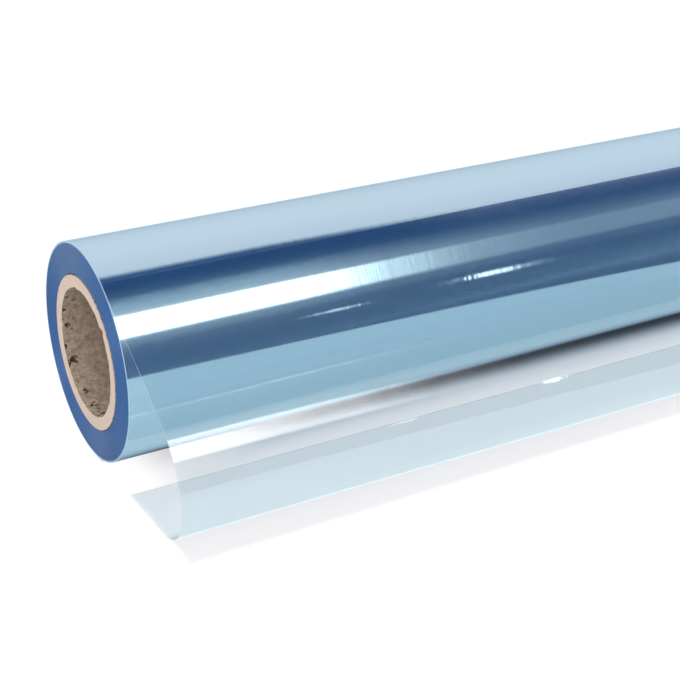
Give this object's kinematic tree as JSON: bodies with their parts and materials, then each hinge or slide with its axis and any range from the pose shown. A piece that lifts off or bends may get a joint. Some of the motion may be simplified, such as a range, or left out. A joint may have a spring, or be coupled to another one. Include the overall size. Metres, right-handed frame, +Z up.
{
  "type": "roll of plastic sheeting",
  "caption": "Roll of clear plastic sheeting wound on a cardboard tube, lying on its side, with its outer turn sprung loose in a long loop in front.",
  "frame": {"origin": "on the axis of the cardboard tube, half way along it", "axes": "+X along the tube's axis, +Z up as it lies, -Y towards the loose end in front"},
  "size_m": [0.5, 0.1965, 0.1294],
  "materials": {
    "cardboard": "raw brown recycled board, pale where it was cut",
    "sheeting": "clear glossy sheeting, colourless as one layer and clear blue where many turns lie on each other"
  },
  "bodies": {
    "root": {"core": "cardboard", "film": "sheeting"}
  },
  "joints": []
}
